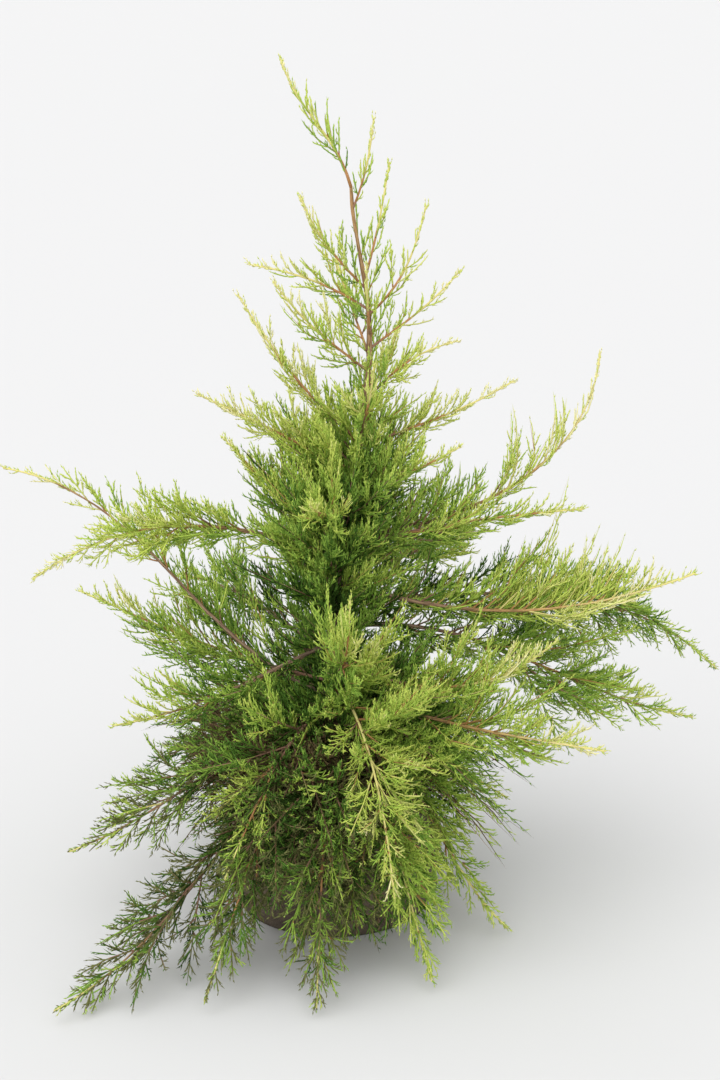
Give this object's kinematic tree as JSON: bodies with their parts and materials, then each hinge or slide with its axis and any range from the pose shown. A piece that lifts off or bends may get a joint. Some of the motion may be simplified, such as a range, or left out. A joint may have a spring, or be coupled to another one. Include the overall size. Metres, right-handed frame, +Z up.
{
  "type": "chinese juniper on a root ball",
  "caption": "Young open-branched chinese juniper with a leaning leader, spreading boughs and feathery sprays, standing on its hessian-wrapped root ball.",
  "frame": {"origin": "middle of the root ball's flat underside", "axes": "+Z up along the trunk; +X to the right and -Y towards the viewer in the picture"},
  "size_m": [0.9874, 0.7204, 1.12],
  "materials": {
    "bark": "rough, peeling red-brown bark",
    "hessian": "coarse woven hessian, earth-stained",
    "foliage_deep": "matt scale leaves, deep green",
    "foliage_green": "matt scale leaves, mid green",
    "foliage_fresh": "matt scale leaves, fresh green",
    "foliage_golden": "matt scale leaves, yellow-green tips"
  },
  "bodies": {
    "root": {"bough_back_left": "bark", "bough_back_right": "bark", "bough_front_right": "bark", "bough_left_foot": "bark", "bough_left_front": "bark", "bough_left_long": "bark", "bough_left_low": "bark", "bough_left_rising": "bark", "bough_right_arching": "bark", "bough_right_back": "bark", "bough_right_drooping": "bark", "bough_right_long": "bark", "foliage_back_foot_left": "foliage_deep", "foliage_back_foot_right": "foliage_deep", "foliage_back_left": "foliage_deep", "foliage_back_low": "foliage_deep", "foliage_back_right": "foliage_green", "foliage_back_upper": "foliage_green", "foliage_front_drop": "foliage_fresh", "foliage_front_foot": "foliage_deep", "foliage_front_left_drop": "foliage_green", "foliage_front_left_foot": "foliage_deep", "foliage_front_right": "foliage_golden", "foliage_front_right_foot": "foliage_fresh", "foliage_front_rising": "foliage_golden", "foliage_front_tower": "foliage_green", "foliage_high_back": "foliage_green", "foliage_high_front": "foliage_fresh", "foliage_high_left": "foliage_fresh", "foliage_high_right": "foliage_fresh", "foliage_leader": "foliage_golden", "foliage_left_back": "foliage_green", "foliage_left_foot": "foliage_deep", "foliage_left_front": "foliage_green", "foliage_left_long": "foliage_fresh", "foliage_left_low": "foliage_green", "foliage_left_rising": "foliage_green", "foliage_left_shoulder": "foliage_fresh", "foliage_left_spire": "foliage_fresh", "foliage_left_tier": "foliage_green", "foliage_middle_back": "foliage_green", "foliage_middle_front": "foliage_green", "foliage_middle_right": "foliage_fresh", "foliage_right_arching": "foliage_fresh", "foliage_right_back": "foliage_deep", "foliage_right_drooping": "foliage_green", "foliage_right_foot": "foliage_fresh", "foliage_right_long": "foliage_fresh", "foliage_right_middle": "foliage_green", "foliage_right_under": "foliage_green", "foliage_right_upper": "foliage_green", "foliage_shoulder_right": "foliage_fresh", "foliage_top_left": "foliage_fresh", "foliage_top_right": "foliage_fresh", "foliage_upper_back": "foliage_green", "foliage_upper_front": "foliage_fresh", "foliage_upper_left": "foliage_fresh", "foliage_upper_right": "foliage_fresh", "root_ball": "hessian", "trunk": "bark"}
  },
  "joints": []
}
